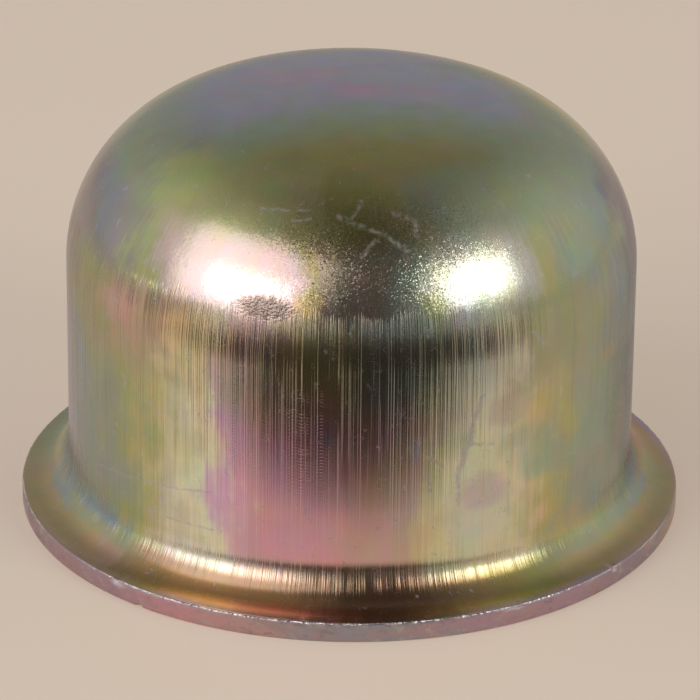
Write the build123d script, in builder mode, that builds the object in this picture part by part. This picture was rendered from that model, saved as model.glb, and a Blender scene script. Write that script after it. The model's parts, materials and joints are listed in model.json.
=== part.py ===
from build123d import *
from math import asin, degrees
import os

# Hub grease cap, drawn from one steel blank: crown, shoulder, straight wall, foot and flange.
# It stands on its flange: the seat is Z = 0, the drawing axis is Z, and the crown is on top.

# Driving dimensions in millimetres, measured on the outer skin
body_diameter = 42.8
height = 32.6
crown_radius = 70.0
shoulder_radius = 12.2
foot_radius = 3.3
flange_land = 0.3
sheet = 1.5

# Trimmed rim: the shear pulls the lower edge round and leaves the upper edge with a fine burr
die_roll_radius = 0.12
burr_break = 0.1

# Places that follow from the sizes
body_radius = body_diameter / 2
rim_radius = body_radius + foot_radius + flange_land
crown_angle = degrees(asin((body_radius - shoulder_radius) / (crown_radius - shoulder_radius)))


with BuildPart() as grease_cap:
    # The sheet's section is the outer skin, thickened inwards by the sheet, so each bend keeps one centre
    with BuildSketch(Plane.XZ) as section:
        with BuildLine():
            crown = CenterArc((0, height - crown_radius), crown_radius, 90, -crown_angle)
            shoulder = JernArc(crown @ 1, crown % 1, shoulder_radius, crown_angle - 90)
            wall = Line(shoulder @ 1, (body_radius, sheet + foot_radius))
            foot = JernArc(wall @ 1, wall % 1, foot_radius, 90)
            Line(foot @ 1, (rim_radius, sheet))
            offset(amount=sheet, side=Side.RIGHT)
        make_face()
        # The rim's lower corner is rolled round by the shear, its upper corner is only dulled
        fillet(section.vertices().group_by(Axis.X)[-1].sort_by(Axis.Y)[0], die_roll_radius)
        chamfer(section.vertices().group_by(Axis.X)[-1].sort_by(Axis.Y)[-1], burr_break)
    revolve(axis=Axis.Z)

grease_cap.part.label = "grease_cap"

os.makedirs("parts", exist_ok=True)
export_step(grease_cap.part, "parts/grease_cap.step")
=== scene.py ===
import json
import math

import bpy
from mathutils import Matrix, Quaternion, Vector


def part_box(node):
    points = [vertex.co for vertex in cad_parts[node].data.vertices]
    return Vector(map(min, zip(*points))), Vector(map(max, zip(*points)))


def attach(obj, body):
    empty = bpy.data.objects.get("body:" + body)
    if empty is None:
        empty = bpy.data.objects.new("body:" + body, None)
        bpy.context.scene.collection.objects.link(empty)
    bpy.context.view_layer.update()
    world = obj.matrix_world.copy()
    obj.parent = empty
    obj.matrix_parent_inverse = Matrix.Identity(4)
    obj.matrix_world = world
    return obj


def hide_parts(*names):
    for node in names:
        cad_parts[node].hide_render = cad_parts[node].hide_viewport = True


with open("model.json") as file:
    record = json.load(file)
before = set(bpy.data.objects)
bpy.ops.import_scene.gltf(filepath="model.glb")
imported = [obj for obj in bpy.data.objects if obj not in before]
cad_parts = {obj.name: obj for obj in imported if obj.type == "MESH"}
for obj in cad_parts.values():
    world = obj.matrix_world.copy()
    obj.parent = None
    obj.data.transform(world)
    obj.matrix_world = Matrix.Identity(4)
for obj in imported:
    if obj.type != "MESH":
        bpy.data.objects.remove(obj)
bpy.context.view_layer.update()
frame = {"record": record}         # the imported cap: metres, mouth down on Z = 0, photo seen from -Y
mm = 0.001
print("frame loaded")

# Cap

boreMount = next(mount for mount in frame["record"]["mounts"] if mount["name"] == "cup_bore")
boreRadius = boreMount["dims"]["r_mm"] * mm
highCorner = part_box("grease_cap")[1]

capShape = {
    "sheet": 1.5 * mm,
    "crownRadius": 70 * mm,
    "shoulderRadius": 12.2 * mm,
    "footRadius": 3.3 * mm,
    "dieRoll": 0.12 * mm,         # rounded lower corner of the sheared rim
    "burr": 0.1 * mm,             # dulled upper corner
    "aroundSteps": 1200,
    "crownSteps": 8,
    "shoulderSteps": 22,
    "wallSteps": 4,
    "footSteps": 12,
    "landSteps": 2,
    "rimSteps": 6,
    "rollSteps": 3,
    "mouthSteps": 8,
    "boreSteps": 2,
    "insideCoarser": 3,           # the inside's shoulder and crown have a third of the steps
    "weld": 0.001 * mm,
    "smoothBelow": 35,            # degrees
    "lineDepth": 0.02 * mm,       # draw lines up the wall
    "lineSpacing": 0.4 * mm,
    "lineStart": (23.9, 25.6),    # millimetres along the section, where the lines come in
    "lineEnd": (43.8, 46.0),      # and where they go out
    "burrDepth": 0.07 * mm,
    "burrGrain": 0.5 * mm,
    "burrReach": (-0.05, 0.25),   # millimetres along the section, from the end of the land
    "nickFall": 0.7,              # how far a nick goes up or down, as a share of its depth
    "nicks": [                    # degrees round the rim; millimetres: height of its edge, depth, reach
        (-37.8, 0.0, 0.16, 0.42),
        (-42.5, 1.5, 0.12, 0.7),
        (52, 1.5, 0.1, 0.45),
        (-8, 1.5, 0.05, 0.7),
        (148, 1.5, 0.1, 0.6),
        (-117, 0.0, 0.14, 0.5),
    ],
}


def bendEnd(centre, degreesTurned, steps):      # turns the profile's open end about a point
    middle = (centre[0], 0, centre[1])
    bpy.ops.mesh.spin(steps=steps, angle=math.radians(degreesTurned), center=middle, axis=(0, -1, 0))


def runEnd(dx, dz, steps=1):                    # draws the profile's open end out straight
    for _ in range(steps):
        step = (dx / steps, 0, dz / steps)
        bpy.ops.mesh.extrude_vertices_move(TRANSFORM_OT_translate={"value": step})


def measureSection(cap):      # marks each point with its millimetres along the section, from the crown
    arcs = cap.data.attributes.new("arc", "FLOAT", "POINT")
    links = {point.index: [] for point in cap.data.vertices}
    for edge in cap.data.edges:
        links[edge.vertices[0]].append(edge.vertices[1])
        links[edge.vertices[1]].append(edge.vertices[0])
    here, last, walked = 0, None, 0.0
    while here is not None:
        arcs.data[here].value = walked
        ahead = next((point for point in links[here] if point != last), None)
        if ahead is not None:
            walked += (cap.data.vertices[ahead].co - cap.data.vertices[here].co).length / mm
        here, last = ahead, here


def makeCap(shape):
    sheet = shape["sheet"]
    crown = shape["crownRadius"]
    shoulder = shape["shoulderRadius"]
    foot = shape["footRadius"]
    roll = shape["dieRoll"]
    burr = shape["burr"]
    rimRadius = highCorner.x
    height = highCorner.z
    bodyRadius = boreRadius + sheet
    crownTurn = math.asin((bodyRadius - shoulder) / (crown - shoulder))
    crownDegrees = math.degrees(crownTurn)
    crownCentre = (0, height - crown)
    shoulderCentre = (bodyRadius - shoulder, crownCentre[1] + (crown - shoulder) * math.cos(crownTurn))
    footCentre = (bodyRadius + foot, sheet + foot)
    wallHeight = shoulderCentre[1] - footCentre[1]

    bpy.ops.object.select_all(action="DESELECT")
    bpy.ops.mesh.primitive_plane_add(size=mm, location=(0, 0, 0))
    cap = bpy.context.object
    cap.name = cap.data.name = "greaseCap"
    bpy.ops.object.mode_set(mode="EDIT")
    bpy.ops.mesh.select_all(action="SELECT")
    bpy.ops.mesh.merge(type="CENTER")                       # one point, to draw the section from
    bpy.ops.mesh.select_all(action="SELECT")
    bpy.ops.transform.translate(value=(0, 0, height))
    bendEnd(crownCentre, crownDegrees, shape["crownSteps"])
    bendEnd(shoulderCentre, 90 - crownDegrees, shape["shoulderSteps"])
    runEnd(0, -wallHeight, shape["wallSteps"])
    bendEnd(footCentre, -90, shape["footSteps"])
    runEnd(rimRadius - burr - footCentre[0], 0, shape["landSteps"])
    runEnd(burr, -burr)
    runEnd(0, roll + burr - sheet, shape["rimSteps"])
    bendEnd((rimRadius - roll, roll), 90, shape["rollSteps"])
    runEnd(footCentre[0] + roll - rimRadius, 0)
    bendEnd(footCentre, 90, shape["mouthSteps"])            # up into the bore
    runEnd(0, wallHeight, shape["boreSteps"])
    bendEnd(shoulderCentre, crownDegrees - 90, shape["shoulderSteps"] // shape["insideCoarser"])
    bendEnd(crownCentre, -crownDegrees, shape["crownSteps"] // shape["insideCoarser"])
    bpy.ops.object.mode_set(mode="OBJECT")

    measureSection(cap)
    turned = cap.modifiers.new("turned", "SCREW")
    turned.angle = 2 * math.pi
    turned.steps = turned.render_steps = shape["aroundSteps"]
    turned.use_merge_vertices = True
    turned.merge_threshold = shape["weld"]
    bpy.ops.object.modifier_apply(modifier="turned")
    bpy.ops.object.mode_set(mode="EDIT")
    bpy.ops.mesh.select_all(action="SELECT")
    bpy.ops.mesh.remove_doubles(threshold=shape["weld"])    # closes the seam and both poles
    bpy.ops.mesh.normals_make_consistent(inside=False)
    bpy.ops.object.mode_set(mode="OBJECT")
    bpy.ops.object.shade_smooth_by_angle(angle=math.radians(shape["smoothBelow"]))

    stretches = {
        "crown": crown * crownTurn,
        "shoulder": shoulder * (math.pi / 2 - crownTurn),
        "wall": wallHeight,
        "foot": foot * math.pi / 2,
        "land": rimRadius - burr - footCentre[0],
        "rim": sheet - roll + roll * math.pi / 2,
    }
    ends, walked = {}, 0.0
    for name, length in stretches.items():      # where each stretch ends, millimetres along the section
        walked += length / mm
        ends[name] = walked
    print("cap drawn:", len(cap.data.polygons), "faces")
    return cap, ends


def drawWall(cap, shape):           # marks of the drawing die, straight up the wall
    arcs = [mark.value for mark in cap.data.attributes["arc"].data]
    lined = cap.vertex_groups.new(name="drawn")
    startsAt, fullFrom = shape["lineStart"]
    fullTo, endsAt = shape["lineEnd"]
    for index, arc in enumerate(arcs):
        if startsAt < arc < endsAt:
            comingIn = (arc - startsAt) / (fullFrom - startsAt)
            goingOut = (endsAt - arc) / (endsAt - fullTo)
            lined.add([index], min(1.0, comingIn, goingOut), "REPLACE")
    around = cap.data.uv_layers.new(name="around")      # the same all the way up, and closed round the cap
    for loop in cap.data.loops:
        outward = cap.data.vertices[loop.vertex_index].co.xy.normalized()
        around.data[loop.index].uv = outward * 0.5 + Vector((0.5, 0.5))
    grain = bpy.data.textures.new("drawGrain", "CLOUDS")
    grain.noise_scale = shape["lineSpacing"] / (boreRadius + shape["sheet"])
    grain.noise_depth = 1
    drawn = cap.modifiers.new("drawn", "DISPLACE")
    drawn.texture = grain
    drawn.vertex_group = "drawn"
    drawn.texture_coords = "UV"
    drawn.uv_layer = "around"
    drawn.mid_level = 0.5
    drawn.strength = shape["lineDepth"]
    bpy.ops.object.modifier_apply(modifier="drawn")
    print("wall drawn")


def wearRim(cap, shape, ends):      # burr on the rim's upper edge, and nicks; inwards, so the size stays
    marks = cap.data.attributes["arc"].data
    low, high = (ends["land"] + reach for reach in shape["burrReach"])
    edge = [point.index for point in cap.data.vertices if low < marks[point.index].value < high]
    cap.vertex_groups.new(name="burr").add(edge, 1.0, "REPLACE")
    grain = bpy.data.textures.new("burrGrain", "CLOUDS")
    grain.noise_scale = shape["burrGrain"]
    worn = cap.modifiers.new("worn", "DISPLACE")
    worn.texture = grain
    worn.vertex_group = "burr"
    worn.texture_coords = "LOCAL"
    worn.mid_level = 0.0
    worn.strength = -shape["burrDepth"]
    bpy.ops.object.modifier_apply(modifier="worn")
    for degrees, height, depth, reach in shape["nicks"]:
        turn = math.radians(degrees)
        out = Vector((math.sin(turn), -math.cos(turn), 0))
        middle = out * highCorner.x + Vector((0, 0, height * mm))
        nearest = min(cap.data.vertices, key=lambda point: (point.co - middle).length).index
        fall = (depth if height == 0 else -depth) * shape["nickFall"] * mm
        inward = -out * depth * mm + Vector((0, 0, fall))
        bpy.ops.object.mode_set(mode="EDIT")
        bpy.ops.mesh.select_mode(type="VERT")
        bpy.ops.mesh.select_all(action="DESELECT")
        bpy.ops.object.mode_set(mode="OBJECT")
        cap.data.vertices[nearest].select = True
        bpy.ops.object.mode_set(mode="EDIT")
        bpy.ops.transform.translate(value=inward, use_proportional_edit=True,
                                    proportional_edit_falloff="SMOOTH", proportional_size=reach * mm)
        bpy.ops.object.mode_set(mode="OBJECT")
    print("rim worn")


bakeSheet = {              # where the skin lies on the square OFBake map, in its pixels
    "side": 1024,
    "between": 8,          # gap between the rows of a strip
    "discs": [             # from and to along the section, centre, radius
        (0.0, 24.3, (258, 258), 250),
        (72.8, 99.9, (829, 800), 118),
    ],
    "strips": [            # from and to along the section, rows, first row's corner, size of a row
        (24.3, 43.3, 2, (8, 516), (693, 196)),
        (43.3, 48.75, 4, (516, 256), (405, 57)),
        (48.75, 50.25, 2, (8, 924), (809, 17)),
        (50.25, 57.9, 1, (8, 974), (785, 42)),
        (57.9, 72.8, 2, (709, 516), (288, 69)),
    ],
}


def stretchOf(faces, walked, start, end):      # the faces between two places on the section, and their reach
    inside = [(face, corners) for face, corners, arc in faces if start <= arc < end]
    reached = [walked[corner] for face, corners in inside for corner in corners]
    return inside, min(reached), max(reached)


def layFlat(cap, sheet):
    for layer in list(cap.data.uv_layers):
        cap.data.uv_layers.remove(layer)
    flat = cap.data.uv_layers.new(name="OFBake").data
    side = sheet["side"]
    turns = [math.degrees(math.atan2(point.co.x, -point.co.y)) for point in cap.data.vertices]
    walked = [mark.value for mark in cap.data.attributes["arc"].data]
    faces = []
    for face in cap.data.polygons:
        corners = list(face.vertices)
        faces.append((face, corners, sum(walked[corner] for corner in corners) / len(corners)))
    for start, end, (x, y), radius in sheet["discs"]:
        inside, low, high = stretchOf(faces, walked, start, end)
        for face, corners in inside:
            for loop, corner in zip(face.loop_indices, corners):
                along = (walked[corner] - low) / (high - low)
                reach = radius * (along if start == 0 else 1 - along)
                turn = math.radians(turns[corner])
                flat[loop].uv = ((x + reach * math.sin(turn)) / side, (y + reach * math.cos(turn)) / side)
    for start, end, rows, (x, y), (wide, tall) in sheet["strips"]:
        inside, low, high = stretchOf(faces, walked, start, end)
        for face, corners in inside:
            middle = math.degrees(math.atan2(face.center.x, -face.center.y))
            row = int((middle + 180) / 360 * rows)
            for loop, corner in zip(face.loop_indices, corners):
                along = (walked[corner] - low) / (high - low)
                turn = middle + (turns[corner] - middle + 180) % 360 - 180
                across = wide * ((turn + 180) / 360 * rows - row)
                up = row * (tall + sheet["between"]) + tall * along
                flat[loop].uv = ((x + across) / side, (y + up) / side)
    print("skin laid flat")


def paintFrom(cap, arcStart, material):        # finish for the faces from one place on the section onwards
    cap.data.materials.append(material)
    newest = len(cap.data.materials) - 1
    marks = cap.data.attributes["arc"].data
    for face in cap.data.polygons:
        if sum(marks[corner].value for corner in face.vertices) / len(face.vertices) > arcStart:
            face.material_index = newest


# Finish

def addNode(tree, kind, values=None, **settings):
    made = tree.nodes.new("ShaderNode" + kind)
    for name, value in settings.items():
        setattr(made, name, value)
    for key, value in (values or {}).items():
        if isinstance(value, bpy.types.NodeSocket):
            tree.links.new(value, made.inputs[key])
        else:
            made.inputs[key].default_value = value
    return made


def maths(tree, operation, first, second=0.0, third=0.0):
    return addNode(tree, "Math", {0: first, 1: second, 2: third}, operation=operation).outputs[0]


def total(tree, first, *others):
    for other in others:
        first = maths(tree, "ADD", first, other)
    return first


def product(tree, first, *others):
    for other in others:
        first = maths(tree, "MULTIPLY", first, other)
    return first


def highest(tree, first, *others):
    for other in others:
        first = maths(tree, "MAXIMUM", first, other)
    return first


def awayFrom(tree, value, middle):                         # how far a value lies from another, either way
    return maths(tree, "ABSOLUTE", maths(tree, "SUBTRACT", value, middle))


def vector(tree, operation, first, second=(0, 0, 0)):
    return addNode(tree, "VectorMath", {0: first, 1: second}, operation=operation).outputs[0]


def scaled(tree, first, factor):
    return addNode(tree, "VectorMath", {0: first, "Scale": factor}, operation="SCALE").outputs[0]


def lengthOf(tree, first):
    return addNode(tree, "VectorMath", {0: first}, operation="LENGTH").outputs["Value"]


def dot(tree, first, second):
    return addNode(tree, "VectorMath", {0: first, 1: second}, operation="DOT_PRODUCT").outputs["Value"]


def join(tree, x, y, z=0.0):
    return addNode(tree, "CombineXYZ", {0: x, 1: y, 2: z}).outputs[0]


def fade(tree, value, start, end, low=0.0, high=1.0):      # smooth step from low at start to high at end
    values = {"Value": value, "From Min": start, "From Max": end, "To Min": low, "To Max": high}
    return addNode(tree, "MapRange", values, interpolation_type="SMOOTHSTEP").outputs["Result"]


def cloud(tree, place, scale, detail=1.0, rough=0.5, space="3D"):      # noise round 0.5
    values = {"Vector": place, "Scale": scale, "Detail": detail, "Roughness": rough}
    return addNode(tree, "TexNoise", values, noise_dimensions=space).outputs["Fac"]


def lines(tree, straight, scale, detail=0.0):              # noise that runs straight up the cap
    return cloud(tree, straight, scale, detail, space="2D")


def swing(tree, noise, reach):                             # noise round 0.5 as a shift to both sides
    return maths(tree, "MULTIPLY_ADD", noise, reach, -reach / 2)


def blend(tree, factor, first, second):
    if isinstance(second, tuple):
        second = (*second, 1.0)
    return addNode(tree, "Mix", {0: factor, 6: first, 7: second}, data_type="RGBA").outputs[2]


def ramp(tree, factor, stops):
    made = addNode(tree, "ValToRGB", {"Fac": factor})
    band = made.color_ramp
    band.interpolation = "EASE"
    while len(band.elements) < len(stops):
        band.elements.new(1.0)
    for element, (place, colour) in zip(band.elements, stops):
        element.position = place
        element.color = (*colour, 1.0)
    return made.outputs["Color"]


def relief(tree, height):                                  # bump from a height in millimetres
    return addNode(tree, "Bump", {"Strength": 1.0, "Distance": mm, "Height": height}).outputs[0]


filmTints = {      # colours of the passivation film as it thickens and thins; shade is also a painted shade for the cap's sides
    "slate": (0.48, 0.46, 0.53),
    "steel": (0.38, 0.44, 0.44),
    "sage": (0.41, 0.465, 0.37),
    "green": (0.44, 0.50, 0.26),
    "moss": (0.42, 0.45, 0.30),
    "olive": (0.41, 0.44, 0.25),
    "khaki": (0.46, 0.44, 0.26),
    "ochre": (0.42, 0.37, 0.14),
    "brass": (0.50, 0.43, 0.20),
    "bronze": (0.56, 0.42, 0.21),
    "honey": (0.58, 0.49, 0.24),
    "gold": (0.56, 0.54, 0.26),
    "wheat": (0.72, 0.64, 0.40),
    "straw": (0.81, 0.68, 0.42),
    "cream": (0.88, 0.77, 0.49),
    "ivory": (0.88, 0.77, 0.61),
    "peach": (0.84, 0.58, 0.45),
    "tan": (0.55, 0.35, 0.23),
    "blush": (0.82, 0.60, 0.55),
    "clay": (0.58, 0.46, 0.34),
    "salmon": (0.66, 0.52, 0.43),
    "pink": (0.71, 0.48, 0.49),
    "rose": (0.80, 0.45, 0.53),
    "lilac": (0.48, 0.40, 0.48),
    "mauve": (0.60, 0.54, 0.64),
    "orchid": (0.60, 0.42, 0.52),
    "lime": (0.54, 0.57, 0.25),
    "mist": (0.50, 0.53, 0.42),
    "pearl": (0.66, 0.64, 0.51),
    "sea": (0.31, 0.40, 0.44),
    "jade": (0.38, 0.51, 0.40),
    # painted shade: darkens the shoulder, collar, wall and rim about 84 degrees either side; on the rim it
    # also tints random dark blots
    "shade": (0.34, 0.30, 0.33),
    "pewter": (0.37, 0.36, 0.37),
    "taupe": (0.40, 0.38, 0.32),
    "dusk": (0.43, 0.38, 0.50),
    "ash": (0.40, 0.30, 0.25),
    "amber": (0.84, 0.60, 0.32),
    "russet": (0.60, 0.41, 0.27),
    "copper": (0.66, 0.35, 0.15),
    "rust": (0.46, 0.31, 0.14),
    "umber": (0.36, 0.21, 0.12),
}
skinSpread = 0.3735        # millimetres round the wall for each degree
lineDrift = 0.002          # how much a streak changes for each millimetre of height
halfGrey = (0.5, 0.5, 0.5)


def skinPlaces(tree):      # where a point lies: in space, round the cap, along the section, and laid flat
    place = scaled(tree, addNode(tree, "TexCoord").outputs["Object"], 1 / mm)
    split = addNode(tree, "SeparateXYZ", {0: place}).outputs
    forward = product(tree, split["Y"], -1.0)
    turn = product(tree, maths(tree, "ARCTAN2", split["X"], forward), 180 / math.pi)
    arc = addNode(tree, "Attribute", attribute_name="arc").outputs["Fac"]
    plan = join(tree, split["X"], split["Y"])
    straight = vector(tree, "NORMALIZE", plan)             # the same all the way up a draw line
    rise = join(tree, 0.0, 0.0, product(tree, split["Z"], lineDrift))
    return {
        "place": place,
        "plan": plan,
        "up": split["Z"],
        "turn": turn,
        "arc": arc,
        "straight": straight,
        "drift": vector(tree, "ADD", straight, rise),
        "laid": join(tree, product(tree, turn, skinSpread), arc),
    }


def spot(tree, where, centre, size, softness=0.7):         # 1 in the middle of a patch, 0 outside it
    off = vector(tree, "DIVIDE", vector(tree, "SUBTRACT", where, (*centre, 0)), (*size, 1))
    return fade(tree, lengthOf(tree, off), 1.0, 1.0 - softness)


def skinSpot(tree, laid, patch, softness=0.7):     # patch: degrees, arc, half width in degrees, half height
    degrees, middle, wide, high = patch
    return spot(tree, laid, (degrees * skinSpread, middle), (wide * skinSpread, high), softness)


def scratch(tree, laid, start, end, wide, soft=1.7):       # 1 along a straight mark
    run = (end[0] - start[0], end[1] - start[1], 0)
    off = vector(tree, "SUBTRACT", laid, (*start, 0))
    values = {0: dot(tree, off, run), 1: run[0] ** 2 + run[1] ** 2}
    along = addNode(tree, "Math", values, operation="DIVIDE", use_clamp=True).outputs[0]
    away = lengthOf(tree, vector(tree, "SUBTRACT", off, scaled(tree, run, along)))
    return fade(tree, away, soft * wide, 0.0)


def bands(tree, turn, stops):                              # tints by degrees round the cap, 0 at the front
    around = maths(tree, "MULTIPLY_ADD", turn, 1 / 360, 0.5)
    return ramp(tree, around, [(degrees / 360 + 0.5, filmTints[name]) for degrees, name in stops])


def newMetal(name):
    material = bpy.data.materials.new(name)
    material.use_nodes = True
    tree = material.node_tree
    shader = next(n for n in tree.nodes if n.type == "BSDF_PRINCIPLED")
    shader.inputs["Metallic"].default_value = 1.0
    return material, tree, shader


drawLineTop = 24.2         # millimetres along the section, where the draw lines start

zincFilm = {               # degrees round the cap, millimetres along the section; noise as scale and detail
    "patches": (0.28, 3.0),
    "streaks": (75.0, 2.0),
    "bandSway": {"patches": 26.0, "streaks": 12.0},        # degrees
    "stainSway": {"streaks": 2.4, "patches": 4.0},         # millimetres round the cap, and along the section
    "stainShare": 0.6,
    "crownHeart": (4, -16),                                # millimetres, seen from above
    "crownSpread": (38, 24),
    "crownClouds": (0.4, 2.0),
    "crownSway": {"patches": 5.0, "clouds": 4.0},
    "crownRings": [
        (0.0, "ochre"), (0.30, "ochre"), (0.44, "olive"), (0.53, "sage"), (0.66, "slate"), (1.0, "slate"),
    ],
    "crownStains": [       # centre, half size, tint
        ((-4, 4.5), (5.5, 3.4), "orchid"),
        ((0.5, 1), (5.5, 2.8), "orchid"),
        ((-12, -9), (5, 3), "sage"),
        ((9, 8), (5, 3), "sage"),
    ],
    "coats": {             # counted from, where it comes in, where it is full, tints round the cap
        "brow": ("crownMiddle", 10.5, 15.0, [
            (-180, "moss"), (-160, "moss"), (-110, "sage"), (-82, "moss"), (-66, "moss"), (-54, "lime"),
            (-42, "gold"), (-30, "gold"), (-21, "gold"), (-13, "honey"), (0, "ochre"), (11, "brass"),
            (18, "khaki"), (26, "moss"), (36, "moss"), (44, "olive"), (58, "moss"), (84, "moss"),
            (120, "gold"), (160, "moss"), (180, "moss")]),
        "shoulder": ("crownMiddle", 17.8, 20.4, [
            # shade at -84 and 84 degrees: painted shade on the sides
            (-180, "moss"), (-160, "moss"), (-110, "sage"), (-84, "shade"), (-70, "pewter"),
            (-57, "taupe"), (-48, "gold"), (-41, "blush"), (-28, "blush"), (-16, "blush"), (-9, "honey"),
            (-3, "clay"), (5, "clay"), (12, "mist"), (20, "pearl"), (34, "pearl"), (44, "gold"),
            (56, "moss"), (64, "sage"), (74, "sage"), (84, "shade"), (120, "gold"), (160, "moss"),
            (180, "moss")]),
        # the straw, cream and blush tints from -34 to -5 degrees are partly painted highlight, carrying the
        # left highlight down over the draw lines; the rest is film colour
        "collarFilmAndHighlight": ("drawLineTop", -0.3, 1.2, [
            # shade at -84 and 84 degrees: painted shade on the sides
            (-180, "khaki"), (-160, "khaki"), (-110, "sage"), (-84, "shade"), (-66, "olive"),
            (-50, "clay"), (-41, "clay"), (-34, "straw"), (-28, "cream"), (-21, "blush"), (-13, "straw"),
            (-5, "straw"), (4, "mist"), (13, "mist"), (20, "pearl"), (31, "pearl"), (40, "moss"),
            (52, "moss"), (68, "steel"), (84, "shade"), (120, "gold"), (160, "khaki"), (180, "khaki")]),
        "wall": ("drawLineTop", 4.4, 9.4, [
            (-180, "khaki"), (-160, "khaki"), (-130, "salmon"), (-95, "dusk"), (-82, "dusk"),
            (-70, "steel"), (-60, "sage"), (-49, "green"), (-42, "gold"), (-36, "wheat"), (-29, "cream"),
            (-22, "rose"), (-8, "rose"), (2, "pink"), (11, "salmon"), (17, "wheat"), (24, "cream"),
            # shade at 84 degrees: painted shade on the right side
            (30, "cream"), (36, "wheat"), (43, "gold"), (54, "sage"), (68, "sage"), (84, "shade"),
            (120, "gold"), (160, "khaki"), (180, "khaki")]),
        "foot": ("wall", -0.2, 1.2, [
            (-180, "khaki"), (-160, "khaki"), (-110, "sea"), (-80, "sea"), (-54, "sea"), (-44, "gold"),
            (-34, "ivory"), (-24, "ivory"), (-16, "peach"), (-9, "peach"), (-2, "russet"), (6, "russet"),
            (15, "russet"), (23, "cream"), (34, "cream"), (46, "gold"), (60, "green"), (78, "sea"),
            (110, "sea"), (160, "khaki"), (180, "khaki")]),
        # darker tints where the bend begins: partly film colour, partly painted shade that dims the foot
        # highlight; the umber at the front is painted reflection of the wall's dark front
        "bendFilmAndShade": ("wall", 1.2, 2.2, [
            (-180, "khaki"), (-160, "khaki"), (-110, "sage"), (-84, "khaki"), (-48, "khaki"),
            (-39, "tan"), (-8, "tan"), (2, "umber"), (14, "umber"), (24, "rust"), (35, "ochre"),
            (50, "khaki"), (72, "moss"), (84, "brass"), (120, "copper"), (160, "khaki"), (180, "khaki")]),
        # the umber at the front and the copper left of it are partly painted reflection of the wall above;
        # elsewhere film colour
        "flangeFilmAndReflection": ("wall", 2.3, 3.1, [
            (-180, "brass"), (-160, "brass"), (-110, "olive"), (-84, "bronze"), (-60, "bronze"),
            (-50, "russet"), (-42, "rust"), (-30, "copper"), (-17, "copper"), (-8, "copper"),
            (2, "umber"), (14, "umber"), (24, "rust"), (35, "ochre"), (54, "bronze"), (72, "bronze"),
            (84, "brass"), (120, "copper"), (160, "brass"), (180, "brass")]),
        "land": ("foot", -0.8, 0.1, [
            (-180, "clay"), (-160, "clay"), (-110, "khaki"), (-80, "bronze"), (-62, "russet"),
            (-46, "russet"), (-28, "pink"), (-14, "clay"), (-6, "ash"), (12, "ash"), (26, "lilac"),
            (42, "orchid"), (64, "russet"), (80, "bronze"), (120, "orchid"), (160, "clay"),
            (180, "clay")]),
    },
    "stains": [            # degrees, arc, half width in degrees, half height, tint
        (-53, 26.8, 8, 1.9, "pink"), (45, 37.6, 12, 1.8, "jade"), (57, 35.5, 8, 4.0, "jade"),
        (33, 32.5, 7, 2.0, "clay"), (27, 38.8, 8, 1.8, "pink"), (63, 32, 5, 1.6, "clay"),
        (13.3, 34.4, 1.6, 1.6, "mauve"), (-18, 31.5, 11, 3.0, "clay"), (-4.4, 33.7, 1.8, 1.2, "slate"),
        (70, 38, 5, 3, "clay"), (4.4, 30.4, 2.2, 0.8, "slate"), (-54, 41, 12, 3, "steel"),
        # the two amber stains by -8 degrees are partly painted highlight, an orange tail to the left
        # highlight
        (40, 36, 9, 3, "jade"), (-8.5, 23.4, 4.5, 1.3, "amber"), (-8, 23.6, 4, 1.2, "amber"),
        (128, 36, 22, 4, "salmon"), (-135, 34, 24, 5, "green"), (-11, 17.8, 8, 2.4, "brass"),
        (50, 43.6, 7, 1.8, "clay"), (-78, 45.7, 14, 1.3, "sea"), (80, 45.6, 12, 1.0, "sea"),
        (27.5, 23.9, 3, 0.8, "moss"), (17, 23.6, 5, 1.2, "lime"),
    ],
    "rainbow": {"scale": 0.45, "detail": 4.0, "reach": (0.42, 0.3, 0.55)},
    "tall": (1, 1, 0.6),   # flecks and rainbow patches are taller than wide
    "crownRough": (11.0, 17.0, 0.28, 0.225),               # satin crown, brighter shoulder and wall
    "patchRough": 0.06,
}


def layFilm(tree, at, film, patches, ends):                # the film's tint, with coats that hold painted shade, highlight and reflection, before flecks and marks
    streaks = cloud(tree, at["drift"], *film["streaks"])
    clouds = cloud(tree, at["place"], *film["crownClouds"])
    sway = film["crownSway"]
    wavy = join(tree, swing(tree, patches, sway["patches"]), swing(tree, clouds, sway["clouds"]))
    wavy = vector(tree, "ADD", at["plan"], wavy)
    off = vector(tree, "SUBTRACT", wavy, (*film["crownHeart"], 0))
    away = lengthOf(tree, vector(tree, "DIVIDE", off, (*film["crownSpread"], 1)))
    tint = ramp(tree, away, [(place, filmTints[name]) for place, name in film["crownRings"]])
    for centre, size, name in film["crownStains"]:
        tint = blend(tree, spot(tree, wavy, centre, size, 1.0), tint, filmTints[name])

    sway = film["bandSway"]
    shifted = total(tree, at["turn"], swing(tree, patches, sway["patches"]),
                    swing(tree, streaks, sway["streaks"]))
    countedFrom = {**ends, "crownMiddle": 0.0, "drawLineTop": drawLineTop}
    for origin, start, full, stops in film["coats"].values():
        share = fade(tree, at["arc"], countedFrom[origin] + start, countedFrom[origin] + full)
        tint = blend(tree, share, tint, bands(tree, shifted, stops))

    sway = film["stainSway"]
    uneven = join(tree, swing(tree, streaks, sway["streaks"]), swing(tree, patches, sway["patches"]))
    uneven = vector(tree, "ADD", at["laid"], uneven)
    for *patch, name in film["stains"]:
        share = product(tree, skinSpot(tree, uneven, patch), film["stainShare"])
        tint = blend(tree, share, tint, filmTints[name])
    return tint


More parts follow.
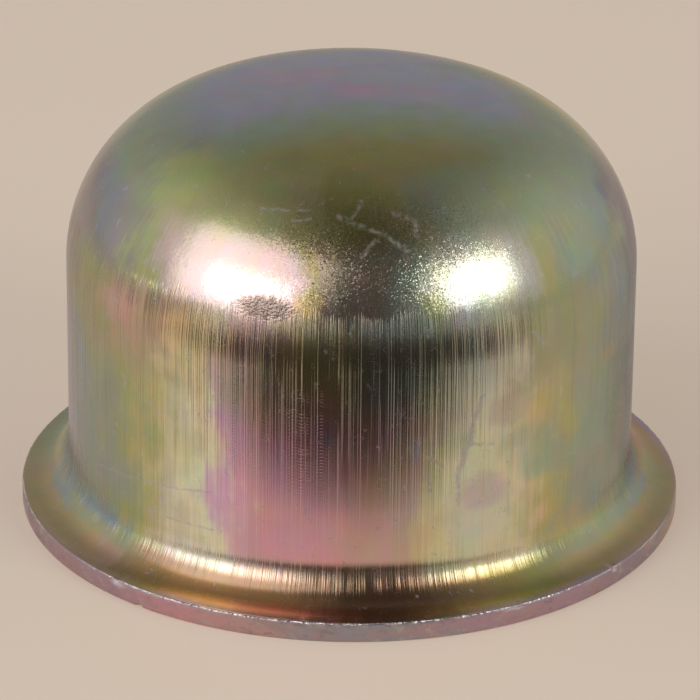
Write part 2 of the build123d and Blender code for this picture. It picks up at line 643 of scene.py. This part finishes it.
zincMarks = {              # what handling and plating left on the film
    "flecks": {"noise": (1.3, 4.0, 0.65), "fade": (0.62, 0.74), "share": 0.6, "dull": 0.2},
    "smears": [            # from and to, each in degrees and millimetres along the section, and half width
        (-3.5, 16.7, 7.8, 18.2, 0.24), (7.8, 18.2, 12.5, 19.4, 0.19), (2.7, 15.4, -0.2, 16.9, 0.2),
        (5.9, 18.4, 2.3, 19.8, 0.17), (10.3, 16.4, 15.8, 17.2, 0.22), (15.8, 17.2, 15.2, 18.3, 0.26),
        (-24.6, 16.7, -10.9, 16.3, 0.13), (-14.9, 17.3, -10.2, 17, 0.12), (26.3, 31, 24.4, 33.6, 0.19),
        (24.4, 33.6, 21.5, 36.8, 0.26), (21.5, 36.8, 21.6, 39, 0.19), (23.2, 34.7, 28.9, 35, 0.13),
        (15.3, 35.2, 18.2, 36, 0.13), (-60, 40.9, -28, 39.1, 0.09), (-38.5, 42.2, -27.5, 42.1, 0.08),
        (38, 27, 41, 28.4, 0.14), (-170, 30, -150, 34, 0.13), (120, 33, 100, 38, 0.14),
        (160, 18, 150, 22, 0.14),
    ],
    "smearSway": {"around": ((1.1, 2.0), 0.5), "along": ((1.6, 2.0), 0.4)},      # noise, millimetres
    "smearBreaks": {"noise": (2.6, 3.0), "fade": (0.25, 0.65)},
    "smearShare": 0.5,
    "smearDull": 0.22,
    "hairs": {"noise": (0.8, 2.0), "width": 0.008, "breaks": (0.7, 1.0), "fade": (0.53, 0.66), "share": 0.6},
    "notch": {             # scaly dull patch under the left highlight; its ash tint is partly painted shade, darkening the highlight over it
        "patch": (-17.5, 23.9, 8.0, 1.15),
        "softness": 0.6,
        "edge": ((60.0, 1.0), 0.6),        # noise, millimetres
        "share": 0.85,
        "dull": 0.16,
        "scales": (4.6, 1.0),
        "flat": (1, 1, 1.4),
        "depth": 0.075,
    },
}


def smearsOn(tree, at, marks):
    place = at["place"]
    around, along = marks["smearSway"]["around"], marks["smearSway"]["along"]
    nearly = join(tree, swing(tree, cloud(tree, place, *around[0]), around[1]),
                  swing(tree, cloud(tree, place, *along[0]), along[1]))
    nearly = vector(tree, "ADD", at["laid"], nearly)
    smears = []
    for startTurn, startArc, endTurn, endArc, wide in marks["smears"]:
        start, end = (startTurn * skinSpread, startArc), (endTurn * skinSpread, endArc)
        smears.append(scratch(tree, nearly, start, end, wide))
    breaks = marks["smearBreaks"]
    kept = fade(tree, cloud(tree, place, *breaks["noise"]), *breaks["fade"])
    broken = product(tree, highest(tree, *smears), kept)
    hairs = marks["hairs"]
    thin = maths(tree, "ABSOLUTE", swing(tree, cloud(tree, place, *hairs["noise"]), 1.0))
    kept = fade(tree, cloud(tree, place, *hairs["breaks"]), *hairs["fade"])
    thin = product(tree, fade(tree, thin, hairs["width"], 0.0), kept, hairs["share"])
    return highest(tree, broken, thin)


def notchOn(tree, at, notch):
    noise, reach = notch["edge"]
    ragged = join(tree, 0.0, swing(tree, lines(tree, at["straight"], *noise), reach))
    return skinSpot(tree, vector(tree, "ADD", at["laid"], ragged), notch["patch"], notch["softness"])


zincLines = {              # draw lines up the wall and over the foot; heights in millimetres
    "ragged": [((220.0, 1.0), 1.6), ((12.0, 0.0), 0.7)],   # how unevenly they start: noise, millimetres
    "topFade": (-0.25, 0.35),
    "footFade": (46.4, 44.9),
    "broad": {"noise": (90.0, 1.0), "height": 0.007},
    "close": {"noise": (240.0, 1.0), "height": 0.036, "patches": 30.0},
    "hair": {"noise": (110.0, 2.0), "width": 0.11, "height": 0.011, "patches": 48.0, "fade": (0.36, 0.56)},
    "front": {"middle": -11.0, "fade": (62.0, 40.0)},      # degrees; strongest at the front
    "elsewhere": {"noise": (2.5, 1.0), "fade": (0.35, 0.65, 0.45, 1.0)},
    "lowerDown": (41.0, 31.0, 0.55, 1.0),
    "overFoot": (43.0, 44.2, 1.0, 1.6),
    "fringes": [((-28, 25.6, 24, 2.4), 0.4), ((-47, 25.1, 15, 1.7), 1.3)],     # deeper here: patch, how much
    "chatter": {           # short ticks across the lines
        "bands": [(-21, 5), (-9, 6), (100, 12), (-140, 15)],       # degrees: middle, half width
        "edge": 3,
        "start": (28.0, 31.0),
        "end": (39.5, 36.5),
        "patches": (0.8, 2.0),
        "patchFade": (0.32, 0.5),
        "rows": 180.0,
        "rowFade": (0.52, 0.62),
        "pitch": 0.25,
        "rowShift": (40.0, 9.0),                           # noise scale, radians
        "waver": ((1.2, 2.0), 9.0),
        "crest": (0.1, 1.0),
        "height": 0.0055,
    },
}


def ticksOn(tree, at, chatter):
    edge = chatter["edge"]
    zones = []
    for middle, half in chatter["bands"]:
        zones.append(fade(tree, awayFrom(tree, at["turn"], middle), half + edge, half - edge))
    zone = product(tree, highest(tree, *zones),
                   fade(tree, at["arc"], *chatter["start"]),
                   fade(tree, at["arc"], *chatter["end"]),
                   fade(tree, cloud(tree, at["place"], *chatter["patches"]), *chatter["patchFade"]),
                   fade(tree, lines(tree, at["straight"], chatter["rows"]), *chatter["rowFade"]))
    rowScale, rowReach = chatter["rowShift"]
    noise, reach = chatter["waver"]
    phase = total(tree, product(tree, at["arc"], 2 * math.pi / chatter["pitch"]),
                  product(tree, lines(tree, at["straight"], rowScale), rowReach),
                  product(tree, cloud(tree, at["place"], *noise), reach))
    return product(tree, fade(tree, maths(tree, "SINE", phase), *chatter["crest"]), zone, chatter["height"])


def linesOn(tree, at, draw):
    straight, arc = at["straight"], at["arc"]
    broad, close, hair = draw["broad"], draw["close"], draw["hair"]
    broadLines = swing(tree, lines(tree, straight, *broad["noise"]), broad["height"])
    closeLines = product(tree, swing(tree, lines(tree, straight, *close["noise"]), close["height"]),
                         cloud(tree, at["drift"], close["patches"]))
    thin = maths(tree, "ABSOLUTE", swing(tree, lines(tree, straight, *hair["noise"]), 1.0))
    hairLines = product(tree, fade(tree, thin, hair["width"], 0.0),
                        fade(tree, cloud(tree, at["drift"], hair["patches"]), *hair["fade"]), hair["height"])
    front, elsewhere = draw["front"], draw["elsewhere"]
    strength = highest(tree, fade(tree, awayFrom(tree, at["turn"], front["middle"]), *front["fade"]),
                       fade(tree, lines(tree, straight, *elsewhere["noise"]), *elsewhere["fade"]))
    strength = product(tree, strength, fade(tree, arc, *draw["lowerDown"]),
                       fade(tree, arc, *draw["overFoot"]))
    for patch, more in draw["fringes"]:
        deeper = maths(tree, "MULTIPLY_ADD", skinSpot(tree, at["laid"], patch), more, 1.0)
        strength = product(tree, strength, deeper)
    ticks = ticksOn(tree, at, draw["chatter"])
    return product(tree, total(tree, broadLines, closeLines, hairLines, ticks), strength)


zincGrain = {              # orange peel where the shoulder was stretched
    "start": (12.0, 17.0),
    "end": (0.4, -0.4),    # from the top of the draw lines
    "waves": {"noise": (0.6, 1.0), "height": 0.02},
    "ripples": {"noise": (3.2, 2.0), "height": 0.007},
    "facets": 15.0,        # per millimetre; most lie almost flat, a few lean far enough to glint
    "coarsest": (9, 19.5, 36, 7.0),
    "coarsestSoftness": 0.6,
    "coarsestShare": 0.85,
    "shoulderLean": 4.96,
    "wallLean": 1.86,
    "wallFade": (29.0, 25.0),
}


def makeZincFinish(film, marks, draw, grain, ends):
    material, tree, shader = newMetal("yellowZinc")
    at = skinPlaces(tree)
    place, arc = at["place"], at["arc"]
    patches = cloud(tree, place, *film["patches"])
    ragged = arc
    for noise, reach in draw["ragged"]:
        ragged = total(tree, ragged, swing(tree, lines(tree, at["straight"], *noise), reach))
    onWall = product(tree, fade(tree, ragged, *(drawLineTop + off for off in draw["topFade"])),
                     fade(tree, arc, *draw["footFade"]))
    onShoulder = product(tree, fade(tree, arc, *grain["start"]),
                         fade(tree, ragged, *(drawLineTop + off for off in grain["end"])))
    smears = smearsOn(tree, at, marks)
    notch = notchOn(tree, at, marks["notch"])

    tall = vector(tree, "MULTIPLY", place, film["tall"])
    flecks = fade(tree, cloud(tree, tall, *marks["flecks"]["noise"]), *marks["flecks"]["fade"])
    tint = layFilm(tree, at, film, patches, ends)
    tint = blend(tree, product(tree, flecks, marks["flecks"]["share"]), tint, filmTints["mauve"])
    values = {"Vector": tall, "Scale": film["rainbow"]["scale"], "Detail": film["rainbow"]["detail"]}
    rainbow = vector(tree, "SUBTRACT", addNode(tree, "TexNoise", values).outputs["Color"], halfGrey)
    rainbow = vector(tree, "MULTIPLY", rainbow, film["rainbow"]["reach"])
    tint = vector(tree, "MULTIPLY", tint, vector(tree, "ADD", rainbow, (1, 1, 1)))
    tint = blend(tree, product(tree, smears, marks["smearShare"]), tint, filmTints["mauve"])
    # the notch's ash tint: a scaly dull mark, darkened partly as painted shade over the left highlight
    tint = blend(tree, product(tree, notch, marks["notch"]["share"]), tint, filmTints["ash"])
    tree.links.new(tint, shader.inputs["Base Color"])

    waves = []
    for wave in (grain["waves"], grain["ripples"]):
        waves.append(swing(tree, cloud(tree, place, *wave["noise"]), wave["height"]))
    scales = cloud(tree, vector(tree, "MULTIPLY", place, marks["notch"]["flat"]), *marks["notch"]["scales"])
    height = total(tree, product(tree, linesOn(tree, at, draw), onWall),
                   product(tree, total(tree, *waves), onShoulder),
                   product(tree, swing(tree, scales, marks["notch"]["depth"]), notch))
    facets = addNode(tree, "TexVoronoi", {"Vector": place, "Scale": grain["facets"]}).outputs["Color"]
    lean = vector(tree, "SUBTRACT", facets, halfGrey)
    square = vector(tree, "MULTIPLY", lean, lean)
    lean = vector(tree, "MULTIPLY", vector(tree, "MULTIPLY", square, square), lean)      # fifth power
    coarse = skinSpot(tree, at["laid"], grain["coarsest"], grain["coarsestSoftness"])
    coarse = maths(tree, "MULTIPLY_ADD", coarse, grain["coarsestShare"], 1 - grain["coarsestShare"])
    leaning = total(tree, product(tree, onShoulder, coarse, grain["shoulderLean"]),
                    product(tree, onWall, fade(tree, arc, *grain["wallFade"]), grain["wallLean"]))
    normal = vector(tree, "ADD", relief(tree, height), scaled(tree, lean, leaning))
    tree.links.new(vector(tree, "NORMALIZE", normal), shader.inputs["Normal"])

    rough = total(tree, fade(tree, arc, *film["crownRough"]),
                  product(tree, flecks, marks["flecks"]["dull"]),
                  product(tree, smears, marks["smearDull"]),
                  product(tree, notch, marks["notch"]["dull"]),
                  swing(tree, patches, film["patchRough"]))
    tree.links.new(rough, shader.inputs["Roughness"])
    return material


rimFinish = {
    "bands": [
        # shade at -84 degrees: painted shade on the left side
        (-180, "slate"), (-160, "slate"), (-120, "clay"), (-84, "shade"), (-64, "orchid"),
        # rose and pink from -32 to -18 degrees: lighter, partly painted highlight where the lamps'
        # reflection falls on the rim
        (-46, "orchid"), (-32, "rose"), (-18, "pink"), (-6, "slate"), (8, "slate"), (22, "orchid"),
        (36, "orchid"), (60, "lilac"), (80, "clay"), (120, "orchid"), (160, "slate"), (180, "slate"),
    ],
    "bandSway": 40.0,                                      # degrees
    "flat": (1, 1, 2.2),                                   # blots are wider than tall
    "patches": (0.4, 4.0, 0.6),
    "blots": (0.9, 4.0, 0.65),
    "mottle": {"tint": (0.62, 0.43, 0.44), "fade": (0.48, 0.62, 0.0, 0.7)},
    "bare": {"tint": (0.62, 0.60, 0.59), "fade": (0.56, 0.66, 0.0, 0.75)},
    "dark": {"tint": filmTints["shade"], "fade": (0.42, 0.33, 0.0, 0.5)},
    "dulled": (0.82, 0.82, 0.82),
    "burr": {              # lighter torn line along the upper edge, strongest at the front: bare metal, partly a painted glint
        "tint": (0.66, 0.62, 0.62),
        "edge": (0.19, 0.07),              # millimetres from the land: where it ends, where it is full
        "wobble": ((1.1, 3.0), 0.5),       # noise, millimetres
        "front": (-4.0, 52.0, 40.0),                       # degrees: middle, where it ends and is full
        "elsewhere": (3.0, 1.0),
        "elsewhereFade": (0.5, 0.62),
        "flakes": 7.0,
        "flakesLevel": (0.5, 0.5, 0.68),
        "flakesLean": (0.75, 0.75, 0.75),
    },
    "chips": [             # degrees, arc, half width in degrees, half height
        (-42.5, 49.0, 2.4, 0.36), (52, 48.95, 1.0, 0.3), (29, 48.95, 2.6, 0.16),
        (148, 49.0, 1.8, 0.3), (100, 49.0, 1.5, 0.3), (-150, 49.0, 2.2, 0.25),
    ],
    "chipTint": (0.76, 0.72, 0.77),
    "chipShare": 0.75,
    "chipSoftness": 0.8,
    "chipSway": {"patches": 0.8, "clouds": 0.4},
    "chipClouds": (2.2, 2.0),
    "tears": {"noise": (120.0, 2.0), "height": 0.02},
    "torn": {"noise": (3.0, 2.0, 0.6), "height": 0.03},
    "roughness": 0.34,
}


def makeRimFinish(finish, ends):
    material, tree, shader = newMetal("shearedEdge")
    at = skinPlaces(tree)
    flat = vector(tree, "MULTIPLY", at["place"], finish["flat"])
    patches = cloud(tree, flat, *finish["patches"])
    blots = cloud(tree, flat, *finish["blots"])
    tint = bands(tree, total(tree, at["turn"], swing(tree, patches, finish["bandSway"])), finish["bands"])
    for noise, name in ((patches, "mottle"), (blots, "bare"), (blots, "dark")):
        tint = blend(tree, fade(tree, noise, *finish[name]["fade"]), tint, finish[name]["tint"])
    tint = vector(tree, "MULTIPLY", tint, finish["dulled"])

    burr = finish["burr"]
    middle, endsAt, fullAt = burr["front"]
    front = highest(tree, fade(tree, awayFrom(tree, at["turn"], middle), endsAt, fullAt),
                    fade(tree, lines(tree, at["straight"], *burr["elsewhere"]), *burr["elsewhereFade"]))
    noise, reach = burr["wobble"]
    wobbly = total(tree, at["arc"], swing(tree, cloud(tree, at["place"], *noise), reach))
    onBurr = product(tree, fade(tree, wobbly, *(ends["land"] + off for off in burr["edge"])), front)
    # the burr's lighter tint, strongest at the front: bare metal, partly a painted glint
    tint = blend(tree, onBurr, tint, burr["tint"])

    clouds = cloud(tree, at["place"], *finish["chipClouds"])
    sway = finish["chipSway"]
    ragged = join(tree, swing(tree, patches, sway["patches"]), swing(tree, clouds, sway["clouds"]))
    ragged = vector(tree, "ADD", at["laid"], ragged)
    for patch in finish["chips"]:
        chip = skinSpot(tree, ragged, patch, finish["chipSoftness"])
        tint = blend(tree, product(tree, chip, finish["chipShare"]), tint, finish["chipTint"])
    tree.links.new(tint, shader.inputs["Base Color"])

    tears = product(tree, cloud(tree, at["drift"], *finish["tears"]["noise"]), finish["tears"]["height"])
    torn = product(tree, cloud(tree, at["place"], *finish["torn"]["noise"]), finish["torn"]["height"])
    flakes = addNode(tree, "TexVoronoi", {"Vector": at["place"], "Scale": burr["flakes"]}).outputs["Color"]
    lean = vector(tree, "SUBTRACT", flakes, burr["flakesLevel"])
    lean = vector(tree, "MULTIPLY", lean, burr["flakesLean"])
    normal = vector(tree, "ADD", relief(tree, total(tree, tears, torn)), scaled(tree, lean, onBurr))
    tree.links.new(vector(tree, "NORMALIZE", normal), shader.inputs["Normal"])
    shader.inputs["Roughness"].default_value = finish["roughness"]
    return material


boreFinish = {
    "patches": (0.16, 4.0),
    "deeper": (4.0, 28.0, -0.1, 0.12),      # from the mouth up, by height: how far along the tints it shifts
    "tints": [(0.2, "brass"), (0.45, "honey"), (0.62, "khaki"), (0.85, "sage")],
    "drawn": {"noise": (140.0, 2.0), "height": 0.02, "fade": (22.0, 18.0)},
    "grain": {"noise": (6.0, 2.0), "height": 0.012},
    "roughness": 0.34,
}


def makeBoreFinish(finish):
    material, tree, shader = newMetal("boreZinc")
    at = skinPlaces(tree)
    film = total(tree, cloud(tree, at["place"], *finish["patches"]), fade(tree, at["up"], *finish["deeper"]))
    tint = ramp(tree, film, [(place, filmTints[name]) for place, name in finish["tints"]])
    tree.links.new(tint, shader.inputs["Base Color"])
    drawn, grain = finish["drawn"], finish["grain"]
    height = total(tree, product(tree, lines(tree, at["straight"], *drawn["noise"]),
                                 fade(tree, at["up"], *drawn["fade"]), drawn["height"]),
                   product(tree, cloud(tree, at["place"], *grain["noise"]), grain["height"]))
    tree.links.new(relief(tree, height), shader.inputs["Normal"])
    shader.inputs["Roughness"].default_value = finish["roughness"]
    return material


# Studio

cameraView = {
    "aim": (-0.05 * mm, -1.19 * mm, 12.34 * mm),
    "elevation": 24.63,
    "distance": 385.2 * mm,
    "roll": 0.58,
    "fieldDegrees": 7.849,
    "clip": (10 * mm, 20),
}


def makeCamera(view):
    lift = math.radians(view["elevation"])
    back = Vector((0, -math.cos(lift), math.sin(lift)))
    bpy.ops.object.camera_add(location=Vector(view["aim"]) + back * view["distance"])
    camera = bpy.context.object
    camera.rotation_mode = "QUATERNION"
    rolled = Quaternion((0, 0, 1), math.radians(view["roll"]))
    camera.rotation_quaternion = (-back).to_track_quat("-Z", "Y") @ rolled
    camera.data.angle = math.radians(view["fieldDegrees"])
    camera.data.clip_start, camera.data.clip_end = view["clip"]
    bpy.context.scene.camera = camera


softBoxes = {   # degrees turned from the camera's side, right positive, and lifted; metres; watts
    "leftBox": {"turn": -48.3, "lift": 33.5, "distance": 0.9, "wide": 0.98, "high": 0.81, "watts": 2.3},
    "leftCore": {"turn": -45, "lift": 26, "distance": 0.88, "wide": 0.46, "high": 0.28, "watts": 0.62},
    "rightBox": {"turn": 55, "lift": 29, "distance": 0.9, "wide": 0.46, "high": 0.37, "watts": 1.55},
}


def makeSoftBoxes(boxes):
    for name, box in boxes.items():
        turn, lift = math.radians(box["turn"]), math.radians(box["lift"])
        out = Vector((math.sin(turn) * math.cos(lift), -math.cos(turn) * math.cos(lift), math.sin(lift)))
        bpy.ops.object.light_add(type="AREA", location=out * box["distance"])
        lamp = bpy.context.object
        lamp.name = name
        lamp.rotation_mode = "QUATERNION"
        lamp.rotation_quaternion = (-out).to_track_quat("-Z", "Y")
        lamp.data.shape = "RECTANGLE"
        lamp.data.size = box["wide"]
        lamp.data.size_y = box["high"]
        lamp.data.energy = box["watts"]


studio = {
    "floorColour": (0.77, 0.635, 0.52),
    "floorSize": 8.0,
    "floorDrop": 0.02 * mm,
    "backdropColour": (0.617, 0.515, 0.423),
    "backdropShare": 0.34,    # of the pale background, that the floor gives itself; the rest is lit
    "roomFront": 0.06,
    "roomBack": {"strength": 0.30, "fade": (-0.35, 0.55), "overhead": (0.3, 0.95, 1.0, 0.55)},
    "roomSides": {"strength": 0.34, "fade": (0.2, 0.75), "rearwards": (0.9, 0.15, 0.25, 1.0)},
    "glow": {"towards": (-0.40, -0.20, 0.89), "strength": 0.12, "spread": (0.9, 0.99)},
    "cards": {                # colour, glow, height above the floor and outline in millimetres
        "blackCard": ((0.05, 0.04, 0.03), 0.0, 0.2, [
            (-45, -49), (-34, -45.4), (-27, -44), (-18, -44.5), (-11, -44.2), (0, -43.7), (11, -43.2),
            (19, -45.4), (32, -51), (46, -50), (56, -42), (90, -54), (130, -80), (4000, -2500),
            (-4000, -4000), (-220, -190), (-140, -82), (-98, -54), (-60, -45)]),
        "greyCard": ((0.44, 0.38, 0.32), 0.0, 0.15, [
            (-36, -46), (-26, -40), (-17.5, -39), (-11, -38.5), (0, -38), (10.5, -37.5), (19, -41),
            (32, -49), (0, -120)]),
        "leftBounce": ((0.95, 0.95, 0.95), 0.12, 0.1, [(-14, -27), (-38, -51), (-57, -24), (-24, -17)]),
        "rightBounce": ((0.95, 0.95, 0.95), 0.0, 0.1, [(12, -29), (30, -56), (53, -32), (22, -21)]),
        "rearCard": ((0.66, 0.55, 0.45), 0.1, 0.1, [(26, 2), (46, 8), (110, 120), (60, 150), (27, 26)]),
    },
}


def paper(name, colour, glow=0.0):
    material = bpy.data.materials.new(name)
    material.use_nodes = True
    shader = next(n for n in material.node_tree.nodes if n.type == "BSDF_PRINCIPLED")
    shader.inputs["Base Color"].default_value = (*colour, 1)
    shader.inputs["Roughness"].default_value = 1.0
    shader.inputs["Specular IOR Level"].default_value = 0.0
    shader.inputs["Emission Color"].default_value = (1, 1, 1, 1)
    shader.inputs["Emission Strength"].default_value = glow
    return material, shader


def makeFloor(studio):
    bpy.ops.mesh.primitive_plane_add(size=studio["floorSize"], location=(0, 0, -studio["floorDrop"]))
    floor = bpy.context.object
    floor.name = "floor"
    pale, shader = paper("palePaper", studio["floorColour"])
    tree = pale.node_tree
    shader.inputs["Emission Color"].default_value = (*studio["backdropColour"], 1)
    ray = addNode(tree, "LightPath").outputs
    seen = highest(tree, ray["Is Camera Ray"], ray["Is Glossy Ray"], ray["Is Transmission Ray"])
    tree.links.new(product(tree, seen, studio["backdropShare"]), shader.inputs["Emission Strength"])
    floor.data.materials.append(pale)


def makeCards(cards):         # flat on the floor, out of the camera's sight, seen only in the metal
    for name, (colour, glow, lift, outline) in cards.items():
        bpy.ops.mesh.primitive_circle_add(vertices=len(outline), radius=mm, fill_type="NGON")
        card = bpy.context.object
        card.name = name
        for corner, (x, y) in zip(card.data.vertices, outline):
            corner.co = (x * mm, y * mm, lift * mm)
        card.data.materials.append(paper(name + "Paper", colour, glow)[0])
        card.visible_camera = card.visible_diffuse = card.visible_shadow = False


def makeRoom(studio):
    room = bpy.data.worlds.new("room")
    bpy.context.scene.world = room
    room.use_nodes = True
    tree = room.node_tree
    sky = next(n for n in tree.nodes if n.type == "BACKGROUND")
    facing = addNode(tree, "TexCoord").outputs["Generated"]
    way = addNode(tree, "SeparateXYZ", {0: facing}).outputs
    back, sides, glow = studio["roomBack"], studio["roomSides"], studio["glow"]
    behind = product(tree, fade(tree, way["Y"], *back["fade"]), fade(tree, way["Z"], *back["overhead"]),
                     back["strength"])
    beside = product(tree, fade(tree, maths(tree, "ABSOLUTE", way["X"]), *sides["fade"]),
                     fade(tree, way["Y"], *sides["rearwards"]), sides["strength"])
    above = product(tree, fade(tree, dot(tree, facing, glow["towards"]), *glow["spread"]), glow["strength"])
    tree.links.new(total(tree, behind, beside, above, studio["roomFront"]), sky.inputs["Strength"])
    sky.inputs["Color"].default_value = (1, 1, 1, 1)


cap, ends = makeCap(capShape)
drawWall(cap, capShape)
wearRim(cap, capShape, ends)
layFlat(cap, bakeSheet)
cap.data.materials.append(makeZincFinish(zincFilm, zincMarks, zincLines, zincGrain, ends))
paintFrom(cap, ends["land"], makeRimFinish(rimFinish, ends))
paintFrom(cap, ends["rim"], makeBoreFinish(boreFinish))
print("finish on")
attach(cap, "root")
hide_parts("grease_cap")
makeFloor(studio)
makeCards(studio["cards"])
makeRoom(studio)
makeSoftBoxes(softBoxes)
makeCamera(cameraView)
bpy.context.scene.view_settings.view_transform = "Standard"
print("studio ready")
